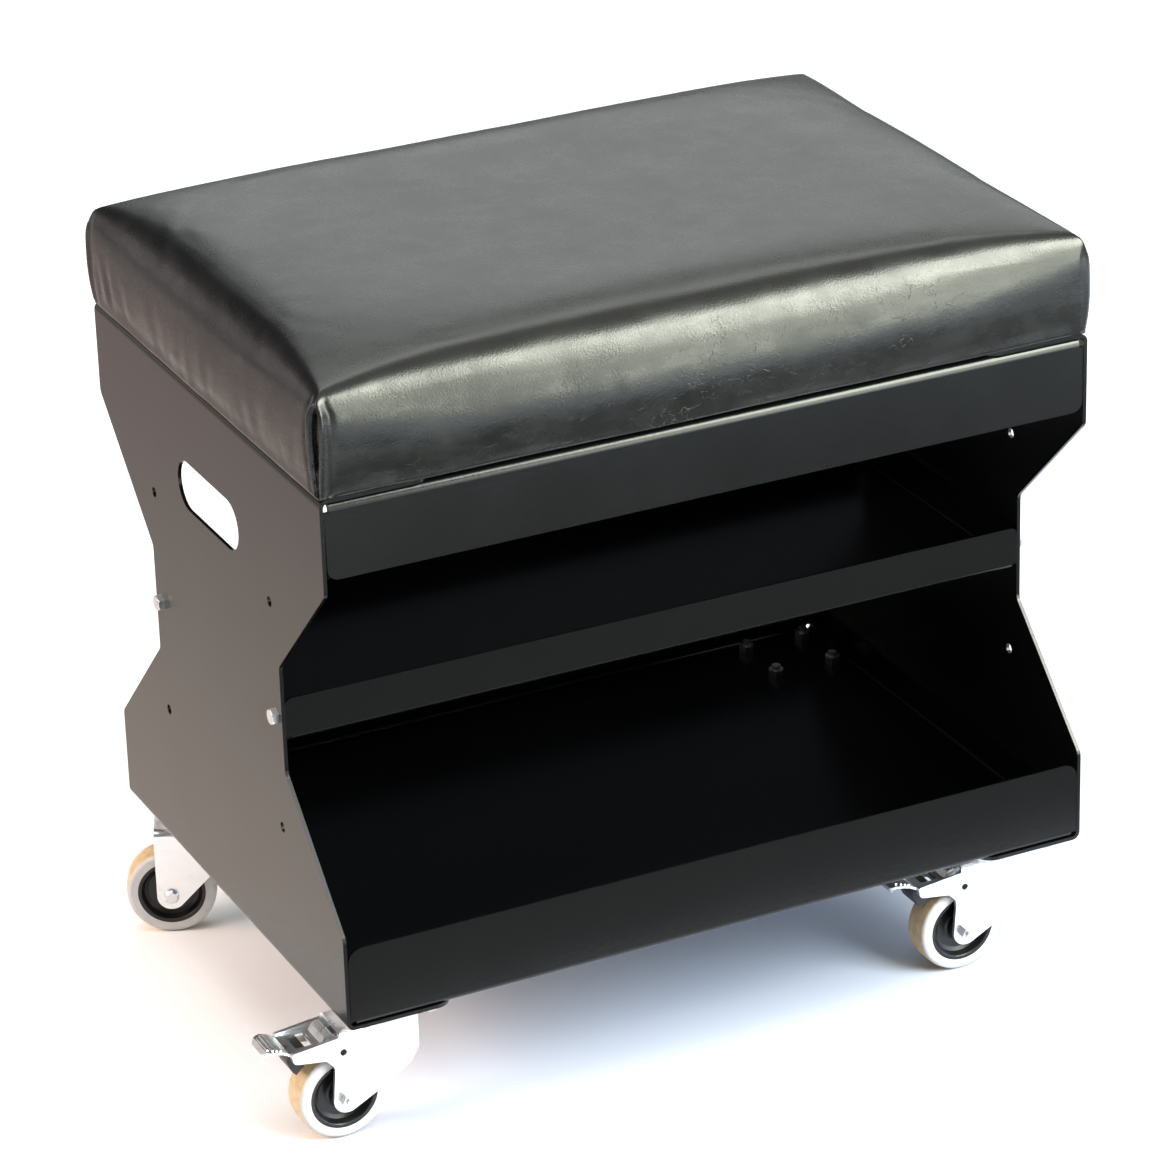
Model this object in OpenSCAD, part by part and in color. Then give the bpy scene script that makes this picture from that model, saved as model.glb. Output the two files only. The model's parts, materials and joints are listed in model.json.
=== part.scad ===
// Rolling detailing stool: a folded sheet-steel frame with a bolted middle shelf and a bottom tray,
// a padded seat, and four swivel castors, the two front ones with brake pedals.
// Millimetres. X is the width, Y runs from front to back, Z is up and the floor is z = 0.

/* [Frame] */
// Width over the two side panels
frame_w = 430; // [400:5:480]
// Depth from front to back
frame_d = 300; // [290:5:340]
// Height of the folded frame, without seat and castors
frame_h = 293; // [285:1:320]
// Sheet thickness of the side panels and rails
sheet_t = 2; // [1.5:0.1:2.2]
// Sheet thickness of the shelf and tray
tray_t = 1.5; // [1:0.1:1.6]
// Width of the flanges folded inward at the top and bottom of a side panel
flange_w = 60; // [56:1:70]
// Outer radius of a fold in the thick sheet
fold_r = 4.5; // [4:0.1:5]
// How far the waist of a side panel is set back from the front and the back
waist_inset = 65; // [55:1:65]
// Height of the upright part of the waist
waist_h = 60; // [50:1:70]
// Height of the middle of the waist above the underside of the frame
waist_mid = 147; // [142:1:150]
// Height of the front and rear rails
rail_h = 41; // [30:1:42]
// Depth of a rail's top flange
rail_flange = 32; // [26:1:36]

/* [Hand slots] */
// Length of the hand slot
slot_len = 81; // [70:1:90]
// Height of the hand slot
slot_h = 27.5; // [22:0.5:30]
// Height of the slot's middle above the underside of the frame
slot_mid = 233; // [230:1:235]

/* [Shelf and tray] */
// Height of the shelf's lips
shelf_lip = 24; // [20:1:26]
// Height of the tray's front and rear lips
tray_lip = 44; // [30:1:48]
// Height of the tray's side lips
tray_side_lip = 20; // [12:1:30]
// Distance between the two shelf holes of a row
shelf_hole_y = 155; // [120:1:155]
// Distance from one row of shelf holes to the next
shelf_hole_z = 63.5; // [55:0.5:65]
// Radius of the shelf holes
shelf_hole_r = 2.75; // [2.6:0.05:3]

/* [Seat] */
// Width of the covered seat
seat_w = 433; // [433:1:440]
// Depth of the covered seat
seat_d = 303; // [303:1:310]
// Height of the seat above the frame
seat_h = 60; // [45:1:70]
// Thickness of the seat's base board
board_t = 12; // [9:1:15]
// Thickness of the cover
cover_t = 1.2; // [1:0.1:1.5]
// Radius of the seat's top edge
seat_edge_r = 17; // [10:1:18]

/* [Castors] */
// Height from the floor to the top of the castor plate
castor_h = 75; // [75:1:76]
// Wheel radius
wheel_r = 25; // [24:0.5:25]
// Wheel width
wheel_w = 17.6; // [16:0.2:17.6]
// Distance from the swivel axis to the wheel axis on the braked front castors
trail_front = 27; // [26:0.5:28]
// Distance from the swivel axis to the wheel axis on the plain rear castors
trail_rear = 21.5; // [20:0.5:24]
// Castor plate, side length
plate_w = 50; // [48:1:54]
// Distance between neighbouring holes of the castor plate
plate_hole = 36.7; // [36.5:0.1:38]
// Swivel axis to the outer face of the side panel
castor_in_x = 32.5; // [31:0.5:34]
// Swivel axis to the front or back of the frame
castor_in_y = 31; // [30:0.5:36]
// Direction in which the front castors trail, from +X
turn_front = 180; // [170:1:190]
// Direction in which the rear left castor trails, from +X
turn_rear_left = 157; // [150:1:200]
// Direction in which the rear right castor trails, from +X
turn_rear_right = 168; // [150:1:200]
// Travel of the brake pedal, in degrees
pedal_travel = 16; // [16:1:17]

/* [Hidden] */
$fn = 48;
eps = 0.01;
w2 = frame_w / 2;
d2 = frame_d / 2;
z0 = castor_h;                      // underside of the frame
z_top = z0 + frame_h;               // top of the frame, where the seat rests
fold_i = fold_r - sheet_t;          // inner radius of a fold in the thick sheet
tray_r = tray_t + 1.5;              // outer radius of a fold in the thin sheet
rail_gap = 0.6;                     // a rail's end to the side panel
tray_gap = 0.3;                     // tray to the side panel
z_tray = z0 + sheet_t;              // underside of the tray
z_hole = z0 + waist_mid;            // middle row of shelf holes
shelf_d = frame_d - 2 * waist_inset;
z_shelf = z_hole - shelf_lip / 2 - 0.5;
shelf_w = frame_w - 2 * sheet_t;    // the shelf is clamped between the side panels
tray_w = frame_w - 2 * sheet_t - 2 * tray_gap;
screw_x = w2 - 31;
shelf_head = 3.5;                   // height of a shelf bolt's head
screw_y = d2 - 17;
// Castors: front left, front right, rear left, rear right
castor_at = [[-1, -1], [1, -1], [-1, 1], [1, 1]];
castor_turn = [turn_front, turn_front, turn_rear_left, turn_rear_right];
castor_trail = [trail_front, trail_front, trail_rear, trail_rear];
plate_t = 2.5;
z_plate = castor_h - plate_t;       // underside of the castor plate
z_crown = castor_h - 9.8;           // top of the fork's crown
fork_t = 2.2;
fork_half = 13;                     // half the outer width of the fork
fork_in = fork_half - fork_t;
race_r = 13.8;                      // ring of balls
ball_r = 2;
z_ball = z_crown + 2.85;
pin_z = castor_h - 22.2;            // brake pedal's pivot
pin_u = 28;
pedal_reach = 70.6;
// The object's box is centred on the origin: the front left pedal stands out past the left side,
// the shelf bolts past the right one
shift_x = (pedal_reach - castor_in_x - shelf_head) / 2;

black = [0.13, 0.13, 0.13];
zinc = [0.78, 0.8, 0.82];

// ---------- helpers ----------

function unit2(v) = v / norm(v);

// Arc that rounds corner b between a and c
function round_corner(a, b, c, r, n = 6) =
    r < 0.01 ? [b] :
    let(u = unit2(a - b), v = unit2(c - b), g = acos(u * v), o = b + unit2(u + v) * r / sin(g / 2),
        p = b + u * r / tan(g / 2), q = b + v * r / tan(g / 2),
        s = atan2(p[1] - o[1], p[0] - o[0]), e = atan2(q[1] - o[1], q[0] - o[0]),
        t = (e - s) > 180 ? e - s - 360 : (e - s) < -180 ? e - s + 360 : e - s)
    [for (i = [0 : n]) o + r * [cos(s + t * i / n), sin(s + t * i / n)]];

// Polygon from [x, y, corner radius] points
module rounded_polygon(pts) {
    n = len(pts);
    polygon([for (i = [0 : n - 1])
        let(a = pts[(i + n - 1) % n], b = pts[i], c = pts[(i + 1) % n])
        each round_corner([a[0], a[1]], [b[0], b[1]], [c[0], c[1]], b[2])]);
}

// Where the line from q touches the circle of radius r round c, on the side given
function touch(c, r, q, side) =
    let(v = q - c, a = atan2(v[1], v[0]) + side * acos(r / norm(v))) c + r * [cos(a), sin(a)];

module rounded_square(w, d, r) {
    union() {
        square([w - 2 * r, d], center = true);
        square([w, d - 2 * r], center = true);
        for (i = [-1, 1], j = [-1, 1]) translate([i * (w / 2 - r), j * (d / 2 - r)]) circle(r);
    }
}

// Everything outside a rounded corner of radius r at the origin, in the quarter +X +Y
module corner_waste(r) {
    difference() {
        translate([-r, -r]) square([r + 1, r + 1]);
        translate([-r, -r]) circle(r);
        translate([-2 * r - 1, -r - 1]) square([r + 1, r + 3]);
        translate([-r - 1, -2 * r - 1]) square([r + 3, r + 1]);
    }
}

// Draws a 2D shape given in the Y-Z plane and extrudes it along +X
module along_x(len) { rotate([90, 0, 90]) linear_extrude(height = len) children(); }
// Draws a 2D shape given in the X-Z plane and extrudes it along -Y
module along_y(len) { rotate([90, 0, 0]) linear_extrude(height = len) children(); }

module hex(af, h) { cylinder(r = af / sqrt(3), h = h, $fn = 6); }

// ---------- frame ----------

// Section of a side panel, X inward and Y up: web with a flange folded inward at each end
module side_section() {
    difference() {
        union() {
            translate([fold_r, 0]) square([flange_w - fold_r, frame_h]);
            translate([0, fold_r]) square([fold_r + 1, frame_h - 2 * fold_r]);
            for (z = [fold_r, frame_h - fold_r]) translate([fold_r, z]) circle(fold_r);
        }
        translate([fold_r, sheet_t]) square([flange_w, frame_h - 2 * sheet_t]);
        translate([sheet_t, fold_r]) square([fold_r, frame_h - 2 * fold_r]);
        for (z = [fold_r, frame_h - fold_r]) translate([fold_r, z]) circle(fold_i);
    }
}

// Outline of a side panel seen from the side: full depth at top and bottom, waist between
module side_outline() {
    a = waist_mid - waist_h / 2;
    b = waist_mid + waist_h / 2;
    rounded_polygon([
        [-d2, -1, 0], [d2, -1, 0], [d2, a - waist_inset, 6], [d2 - waist_inset, a, 6],
        [d2 - waist_inset, b, 6], [d2, b + waist_inset, 6], [d2, frame_h + 1, 0], [-d2, frame_h + 1, 0],
        [-d2, b + waist_inset, 6], [-d2 + waist_inset, b, 6], [-d2 + waist_inset, a, 6], [-d2, a - waist_inset, 6]]);
}

// Left side panel: outer face at x = 0, underside at z = 0
module side_panel() {
    difference() {
        intersection() {
            translate([0, d2, 0]) along_y(frame_d) side_section();
            translate([-1, 0, 0]) along_x(flange_w + 2) side_outline();
        }
        for (j = [-1, 1]) translate([flange_w, j * d2, -1]) scale([1, j, 1]) linear_extrude(height = frame_h + 2) corner_waste(10);
        // shelf holes, three rows
        for (j = [-1, 1], k = [-1, 0, 1])
            translate([-1, j * shelf_hole_y / 2, waist_mid + k * shelf_hole_z])
                rotate([0, 90, 0]) cylinder(r = shelf_hole_r, h = sheet_t + 2);
        // hand slot
        translate([-1, 0, slot_mid]) along_x(sheet_t + 2) union() {
            square([slot_len - slot_h, slot_h], center = true);
            for (j = [-1, 1]) translate([j * (slot_len - slot_h) / 2, 0]) circle(slot_h / 2);
        }
        // castor bolt holes in the bottom flange
        for (j = [-1, 1], a = [-1, 1], b = [-1, 1])
            translate([castor_in_x + a * plate_hole / 2, j * (d2 - castor_in_y) + b * plate_hole / 2, -1])
                cylinder(r = 2.75, h = sheet_t + 2);
        // seat screw holes in the top flange
        for (j = [-1, 0, 1]) translate([w2 - screw_x, j * screw_y, frame_h - sheet_t - 1]) cylinder(r = 2.6, h = sheet_t + 2);
    }
}

module left_side_panel() { color(black) translate([-w2, 0, z0]) side_panel(); }
module right_side_panel() { color(black) translate([w2, 0, z0]) mirror([1, 0, 0]) side_panel(); }

// Section of a rail: web up from z = 0, outer face at y = 0, flange folded inward at the top
module rail_section() {
    difference() {
        union() {
            square([sheet_t, rail_h - fold_r]);
            translate([fold_r, rail_h - sheet_t]) square([rail_flange - fold_r, sheet_t]);
            intersection() {
                translate([fold_r, rail_h - fold_r]) circle(fold_r);
                translate([0, rail_h - fold_r]) square([fold_r, fold_r]);
            }
        }
        translate([fold_r, rail_h - fold_r]) circle(fold_i);
    }
}

// Front rail: outer face at y = 0, flange towards +Y, bottom at z = 0
module rail() {
    len = frame_w - 2 * (sheet_t + rail_gap);
    difference() {
        translate([-len / 2, 0, 0]) along_x(len) rail_section();
        // rounded lower corners of the web
        for (i = [-1, 1]) translate([i * len / 2, sheet_t + 1, 0]) scale([i, 1, 1]) along_y(sheet_t + 2) scale([1, -1]) corner_waste(6);
        // relief at the upper corners, clear of the side panels' folds
        for (i = [-1, 1]) translate([i * len / 2, rail_flange / 2, rail_h - 2.5]) cube([2 * (fold_r - sheet_t - rail_gap + 0.3), rail_flange + 2, 5.2], center = true);
        // rounded corners of the flange
        for (i = [-1, 1]) translate([i * (len / 2 - (fold_r - sheet_t - rail_gap + 0.3)), rail_flange, rail_h - 4])
            scale([i, 1, 1]) linear_extrude(height = 6) corner_waste(8);
        // seat screw holes
        for (i = [-1, 1]) translate([i * screw_x, d2 - screw_y, rail_h - sheet_t - 1]) cylinder(r = 2.6, h = sheet_t + 2);
    }
}

module front_rail() { color(black) translate([0, -d2, z_top - sheet_t - rail_h]) rail(); }
module rear_rail() { color(black) translate([0, d2, z_top - sheet_t - rail_h]) mirror([0, 1, 0]) rail(); }

// Fold and lip of a tray: outer face at y = 0, underside at z = 0, running along X
module lip(len_fold, len_lip, h, corner) {
    difference() {
        union() {
            translate([-len_fold / 2, 0, 0]) along_x(len_fold) intersection() {
                difference() {
                    translate([tray_r, tray_r]) circle(tray_r);
                    translate([tray_r, tray_r]) circle(tray_r - tray_t);
                }
                square([tray_r, tray_r]);
            }
            translate([-len_lip / 2, 0, tray_r]) cube([len_lip, tray_t, h - tray_r]);
        }
        for (i = [-1, 1]) translate([i * len_lip / 2, tray_t + 1, h]) scale([i, 1, 1]) along_y(tray_t + 2) corner_waste(corner);
    }
}

// Folded tray with its underside at z = 0; the corners of the floor are open for the folds
module folded_tray(w, d, lip_h, side_h, corner) {
    side_len = d - 2 * tray_t - 1;
    union() {
        linear_extrude(height = tray_t) square([w - 2 * tray_r, d - 2 * tray_r], center = true);
        for (j = [-1, 1]) scale([1, -j, 1]) translate([0, -d / 2, 0]) lip(w - 2 * tray_r, w, lip_h, corner);
        for (i = [-1, 1]) rotate([0, 0, i * 90]) translate([0, -w / 2, 0]) lip(d - 2 * tray_r, side_len, side_h, 3);
    }
}

module middle_shelf() {
    color(black) difference() {
        translate([0, 0, z_shelf]) folded_tray(shelf_w, shelf_d, shelf_lip, shelf_lip, 4);
        for (i = [-1, 1], j = [-1, 1]) translate([i * (w2 - sheet_t - 3), j * shelf_hole_y / 2, z_hole])
            rotate([0, 90, 0]) cylinder(r = 2.6, h = 8, center = true);
    }
}

module bottom_tray() {
    color(black) difference() {
        translate([0, 0, z_tray]) folded_tray(tray_w, frame_d, tray_lip, tray_side_lip, 8);
        for (c = castor_at, a = [-1, 1], b = [-1, 1])
            translate([c[0] * (w2 - castor_in_x) + a * plate_hole / 2, c[1] * (d2 - castor_in_y) + b * plate_hole / 2, z_tray - 1])
                cylinder(r = 2.75, h = tray_t + 2);
    }
}

// Bolt along +X from the outer face of the left side panel
module shelf_bolt() {
    translate([-shelf_head, 0, 0]) rotate([0, 90, 0]) union() {
        intersection() { hex(8, shelf_head); cylinder(r1 = 3.9, r2 = 6.4, h = shelf_head); }
        translate([0, 0, shelf_head - eps]) cylinder(r = 2.5, h = sheet_t + tray_t + 6);
    }
}
module shelf_nut() {
    translate([sheet_t + tray_t, 0, 0]) rotate([0, 90, 0]) difference() {
        hex(8, 4);
        translate([0, 0, -1]) cylinder(r = 2.52, h = 6);
    }
}
module on_shelf_holes() {
    for (i = [0, 1], j = [-1, 1]) mirror([i, 0, 0]) translate([-w2, j * shelf_hole_y / 2, z_hole]) children();
}
module shelf_bolts() { color(zinc) on_shelf_holes() shelf_bolt(); }
module shelf_nuts() { color(zinc) on_shelf_holes() shelf_nut(); }

// ---------- seat ----------

// Cushion shape between heights a and b: upright sides, rounded corners and top edge
module pad(w, d, a, b, corner, edge) {
    hull() for (i = [-1, 1], j = [-1, 1]) {
        translate([i * (w / 2 - corner), j * (d / 2 - corner), a]) cylinder(r = corner, h = 1, $fn = 32);
        translate([i * (w / 2 - edge), j * (d / 2 - edge), b - edge]) sphere(r = edge, $fn = 32);
    }
}

module seat_board() {
    color([0.76, 0.6, 0.42])
        translate([0, 0, z_top + cover_t]) linear_extrude(height = board_t) rounded_square(seat_w - 2 * cover_t - 0.6, seat_d - 2 * cover_t - 0.6, 12);
}

module seat_foam() {
    color([0.85, 0.83, 0.6])
        pad(seat_w - 2 * cover_t - 0.4, seat_d - 2 * cover_t - 0.4, z_top + cover_t + board_t, z_top + seat_h - cover_t - 0.2, 12, seat_edge_r - cover_t);
}

module seat_cover() {
    color([0.1, 0.1, 0.1]) difference() {
        pad(seat_w, seat_d, z_top, z_top + seat_h, 10, seat_edge_r);
        pad(seat_w - 2 * cover_t, seat_d - 2 * cover_t, z_top + cover_t, z_top + seat_h - cover_t, 10 - cover_t, seat_edge_r - cover_t);
        // the cover is turned under the board by 28 mm
        translate([0, 0, z_top - 1]) linear_extrude(height = cover_t + 2) square([seat_w - 56, seat_d - 56], center = true);
        for (i = [-1, 1], j = [-1, 1]) translate([i * screw_x, j * screw_y, z_top - 1]) cylinder(r = 2.6, h = cover_t + 2);
    }
}

// Staple with its crown along X, pressed into the turned-under cover
module staple() {
    translate([-5, -0.35, 0]) cube([10, 0.7, 0.7]);
    for (i = [-1, 1]) translate([i * 4.65 - 0.35, -0.35, 0]) cube([0.7, 0.7, 8]);
}
module cover_staples() {
    color(zinc) translate([0, 0, z_top]) {
        for (j = [-1, 1], i = [-4 : 4]) translate([i * 38, j * (seat_d / 2 - 19), 0]) staple();
        for (i = [-1, 1], j = [-3 : 2]) translate([i * (seat_w / 2 - 19), (j + 0.5) * 38, 0]) rotate([0, 0, 90]) staple();
    }
}

// Pan-head screw up into the board; z is the underside of the sheet it clamps
module seat_screw(z) {
    translate([0, 0, z - 2.4]) union() {
        cylinder(r1 = 3.4, r2 = 4.6, h = 2.4);
        cylinder(r = 2.1, h = z_top - z + cover_t + 2.4 + 10);
    }
}
module seat_screws() {
    color(zinc) for (i = [-1, 1]) {
        for (j = [-1, 1]) translate([i * screw_x, j * screw_y, 0]) seat_screw(z_top - 2 * sheet_t);
        translate([i * screw_x, 0, 0]) seat_screw(z_top - sheet_t);
    }
}

// ---------- castors ----------

// Puts a castor part in place: its own frame has the swivel axis on Z and the wheel towards +X
module at_castor(i) {
    translate([castor_at[i][0] * (w2 - castor_in_x), castor_at[i][1] * (d2 - castor_in_y), 0]) rotate([0, 0, castor_turn[i]]) children();
}
// The same place without the turn, for parts fixed to the frame
module at_plate(i) {
    translate([castor_at[i][0] * (w2 - castor_in_x), castor_at[i][1] * (d2 - castor_in_y), 0]) children();
}
module on_plate_holes() {
    for (i = [0 : 3]) at_plate(i) for (a = [-1, 1], b = [-1, 1]) translate([a * plate_hole / 2, b * plate_hole / 2, 0]) children();
}

module ring(r1, r2, h) {
    difference() { cylinder(r = r2, h = h); translate([0, 0, -1]) cylinder(r = r1, h = h + 2); }
}
module groove(r) { rotate_extrude() translate([race_r, 0]) circle(r, $fn = 24); }

module castor_plate() {
    difference() {
        union() {
            translate([0, 0, z_plate]) linear_extrude(height = plate_t) rounded_square(plate_w, plate_w, 5);
            // upper ball race and the skirt that covers it
            translate([0, 0, z_crown + 3.7]) cylinder(r = 18.2, h = z_plate - z_crown - 3.7 + 1);
            translate([0, 0, z_crown + 1.2]) ring(19.4, 20.5, z_plate - z_crown - 1.2 + 1);
        }
        translate([0, 0, z_ball]) groove(ball_r + 0.35);
        translate([0, 0, z_crown]) cylinder(r = 4, h = 20);
        for (a = [-1, 1], b = [-1, 1]) translate([a * plate_hole / 2, b * plate_hole / 2, z_plate - 1]) cylinder(r = 2.75, h = plate_t + 2);
    }
}

module kingpin() {
    translate([0, 0, z_crown - 5.2]) cylinder(r1 = 6.6, r2 = 7.5, h = 2.7);
    translate([0, 0, z_crown - 3]) cylinder(r = 4, h = castor_h - z_crown + 3);
}

module swivel_balls() {
    for (k = [0 : 15]) rotate([0, 0, k * 22.5]) translate([race_r, 0, z_ball]) sphere(r = ball_r, $fn = 24);
}

// Section of the fork, X across and Y up: crown folded down into the two legs
module fork_section() {
    r = 4;
    difference() {
        union() {
            translate([-fork_half, 0]) square([2 * fork_half, z_crown - r]);
            translate([-fork_half + r, 0]) square([2 * (fork_half - r), z_crown]);
            for (s = [-1, 1]) translate([s * (fork_half - r), z_crown - r]) circle(r);
        }
        translate([-fork_in, -1]) square([2 * fork_in, z_crown - r + 1]);
        translate([-fork_half + r, -1]) square([2 * (fork_half - r), z_crown - fork_t + 1]);
        for (s = [-1, 1]) translate([s * (fork_half - r), z_crown - r]) circle(r - fork_t);
    }
}

// Side view of the fork, X along the trail and Y up. The braked one has arms out over the wheel
module fork_outline(trail, braked) {
    c = [trail, wheel_r];
    nose = braked ? 7.6 : 8;
    q = braked ? [3, 28.8] : [0.3, 35.5];
    p = touch(c, nose, q, 1);
    union() {
        translate(c) circle(nose);
        if (braked) {
            f = touch(c, nose, [trail + 6, 45], -1);
            rounded_polygon([
                [-14, z_crown + 1, 0], [29.5, z_crown + 1, 0], [29.5, z_crown - 3.4, 2], [56.6, z_crown - 6.2, 1.5],
                [55.4, z_crown - 12.4, 3], [37.5, z_crown - 15.1, 3], [trail + 6, 45, 4], [f[0], f[1], 0], [c[0], c[1], 0],
                [p[0], p[1], 0], [q[0], q[1], 6], [-9, 37, 6], [-14, 45, 4]]);
        } else {
            f = touch(c, nose, [trail + nose, z_crown - 8], -1);
            rounded_polygon([
                [-14, z_crown + 1, 0], [trail + nose - 0.5, z_crown + 1, 0], [trail + nose, z_crown - 8, 3], [f[0], f[1], 0], [c[0], c[1], 0],
                [p[0], p[1], 0], [q[0], q[1], 6], [-14, 45, 4]]);
        }
    }
}

module fork(trail, braked) {
    difference() {
        union() {
            intersection() {
                translate([-16, 0, 0]) rotate([90, 0, 90]) linear_extrude(height = 76) fork_section();
                translate([0, 20, 0]) along_y(40) fork_outline(trail, braked);
            }
            // lower ball race
            translate([0, 0, z_crown - fork_t + 0.4]) cylinder(r = 18.8, h = 2 + fork_t - 0.4);
        }
        translate([0, 0, z_ball]) groove(ball_r + 0.05);
        translate([0, 0, z_crown - 10]) cylinder(r = 4.06, h = 20);
        translate([trail, 0, wheel_r]) rotate([90, 0, 0]) cylinder(r = 2.55, h = 60, center = true);
        if (braked) translate([pin_u, 0, pin_z]) rotate([90, 0, 0]) cylinder(r = 2.4, h = 60, center = true);
    }
}

// Axle parts run along Y at the wheel's axis; the near side is +Y of the castor
module at_axle(trail) { translate([trail, 0, wheel_r]) rotate([-90, 0, 0]) children(); }

// near_head: the round head is on the near side, else the nut is
module axle_bolt(trail, near_head) {
    s = near_head ? 1 : -1;
    at_axle(trail) scale([1, 1, s]) union() {
        translate([0, 0, -fork_half - 5.4]) cylinder(r = 2.5, h = 2 * fork_half + 5.4 + eps);
        translate([0, 0, fork_half]) cylinder(r = 4.2, h = 1.2);
        translate([0, 0, fork_half + 1.2 - eps]) cylinder(r1 = 4.2, r2 = 3, h = 1.2);
    }
}
module axle_nut(trail, near_head) {
    s = near_head ? 1 : -1;
    at_axle(trail) scale([1, 1, s]) translate([0, 0, -fork_half - 4]) difference() {
        hex(8, 4);
        translate([0, 0, -1]) cylinder(r = 2.52, h = 6);
    }
}
module axle_sleeve(trail) {
    at_axle(trail) difference() {
        cylinder(r = 4, h = 2 * fork_in, center = true);
        cylinder(r = 2.55, h = 2 * fork_in + 2, center = true);
    }
}

module wheel_centre(trail) {
    h = wheel_w / 2;
    at_axle(trail) rotate_extrude() polygon([
        [4.06, -10.3], [7, -10.3], [7.2, -9.9], [7.4, -5], [8.6, -4.2], [13, -4.4], [15, -5.4], [16.6, -h + 0.5], [16.9, -h + 0.2], [18.75, -h + 0.1],
        [18.75, h - 0.1], [16.9, h - 0.2], [16.6, h - 0.5], [15, 5.4], [13, 4.4], [8.6, 4.2], [7.4, 5], [7.2, 9.9], [7, 10.3], [4.06, 10.3]]);
}

// Tyre: side faces, rounded shoulders and a slightly crowned tread
module tyre(trail) {
    h = wheel_w / 2;
    s = 2.6;
    shoulder = [for (a = [0 : 15 : 90]) [wheel_r - 0.3 - s + s * sin(a), h - s + s * cos(a)]];
    at_axle(trail) rotate_extrude($fn = 96) polygon(concat(
        [[18.75, -h], [wheel_r - 0.3 - s, -h]],
        [for (i = [len(shoulder) - 1 : -1 : 0]) let(p = shoulder[len(shoulder) - 1 - i]) [p[0], -p[1]]],
        [[wheel_r, -2.5], [wheel_r, 2.5]],
        [for (i = [len(shoulder) - 1 : -1 : 0]) shoulder[i]],
        [[18.75, h]]));
}

// Turns a piece back by the pedal's travel about the pivot
module unlocked() { translate([pin_u, 0, pin_z]) rotate([0, -pedal_travel, 0]) translate([-pin_u, 0, -pin_z]) children(); }

pedal_z = z_crown - 6.8;            // top of the pedal's plate

// Side view shapes of the pedal are drawn in X-Z and extruded to half width b about the middle
module slab(b) { translate([0, b, 0]) along_y(2 * b) children(); }

module brake_pedal() {
    z = pedal_z;
    difference() {
        union() {
            // two side cheeks that carry the pivot
            for (s = [-1, 1]) translate([0, s * 9.85, 0]) slab(0.65) union() {
                translate([pin_u, pin_z]) circle(4.2);
                rounded_polygon([[pin_u - 2, pin_z, 0], [pin_u + 6, z, 2], [56, z, 0], [56, z - 4.6, 2], [44, z - 5.6, 3], [pin_u + 2, pin_z - 3.7, 0]]);
            }
            // plate between the cheeks, with a window
            difference() {
                slab(10.5) polygon([[37, z - 1.3], [37, z], [57.2, z], [57.2, z - 1.3]]);
                translate([46.4, 0, z - 1]) linear_extrude(height = 4, center = true) rounded_square(10.5, 13.6, 1.5);
            }
            // release pad folded up at the back of the plate
            slab(8.4) polygon([[38.4, z], [36.9, z - 1.3], [35.7, z + 2.1], [31.6, z + 2.6], [31.6, z + 3.6], [32.2, z + 4.1], [36.6, z + 3.4]]);
            for (k = [0 : 2]) translate([32.6 + 1.5 * k, 0, z + 3.9 - 0.2 * k]) rotate([90, 0, 0]) cylinder(r = 0.5, h = 16.8, center = true, $fn = 16);
            // toe plate, lifted and turned down at its end
            intersection() {
                slab(10.9) polygon([[56.6, z - 1.3], [60.5, z + 0.6], [64, z + 1.9], [67.4, z + 2], [69.3, z + 0.6], [69.7, z - 1],
                    [70.6, z - 0.8], [70.4, z + 1.2], [68.2, z + 3.2], [64, z + 3.3], [60, z + 2], [56.6, z]]);
                translate([0, 0, z]) linear_extrude(height = 20, center = true) union() {
                    translate([56, -10.4]) square([7.6, 20.8]);
                    translate([63, -3.9]) square([pedal_reach - 63, 7.8]);
                    for (s = [-1, 1]) translate([63.6, s * 3.9]) circle(7);
                }
            }
            for (k = [0 : 3]) translate([60.8 + 2.1 * k, 0, z + [2.35, 2.95, 3.35, 3.25][k]]) rotate([90, 0, 0])
                cylinder(r = 0.55, h = [19, 18.5, 17.5, 14][k], center = true, $fn = 16);
        }
        translate([pin_u, 0, pin_z]) rotate([90, 0, 0]) cylinder(r = 2.45, h = 60, center = true);
    }
}

// Brake shoe under the plate; its face meets the tyre with a small gap when the pedal is down
module brake_shoe() {
    z = pedal_z;
    difference() {
        slab(8) rounded_polygon([[46, z - 1.3, 0], [56.8, z - 1.3, 0], [57.4, z - 6, 1], [54.6, z - 12.4, 1.5], [52.3, z - 15, 1], [49.6, z - 13.6, 1], [46, z - 6, 1]]);
        unlocked() translate([trail_front, 0, wheel_r]) rotate([90, 0, 0]) cylinder(r = wheel_r + 0.35, h = 60, center = true);
    }
}

module pedal_pin() {
    translate([pin_u, 0, pin_z]) rotate([90, 0, 0]) difference() {
        cylinder(r = 2.4, h = 2 * fork_half, center = true);
        cylinder(r = 1.85, h = 2 * fork_half + 2, center = true);
    }
}

// Leaf under the plate that bears up against the crown
module pedal_spring() {
    z = pedal_z;
    slab(4) polygon([[42, z - 1.9], [42, z - 1.3], [35.4, z - 1.3], [30.6, z + 1.6], [20, z + 2.4], [20, z + 1.8], [30.4, z + 1], [35.2, z - 1.9]]);
}

module castor_plate_bolts() {
    color(zinc) on_plate_holes() translate([0, 0, z_plate - 3.5]) union() {
        hex(8, 3.5);
        translate([0, 0, 3.5 - eps]) cylinder(r = 2.5, h = plate_t + sheet_t + tray_t + 6.5);
    }
}
module castor_plate_nuts() {
    color(zinc) on_plate_holes() translate([0, 0, z_tray + tray_t]) difference() {
        hex(8, 4);
        translate([0, 0, -1]) cylinder(r = 2.52, h = 6);
    }
}

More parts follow.
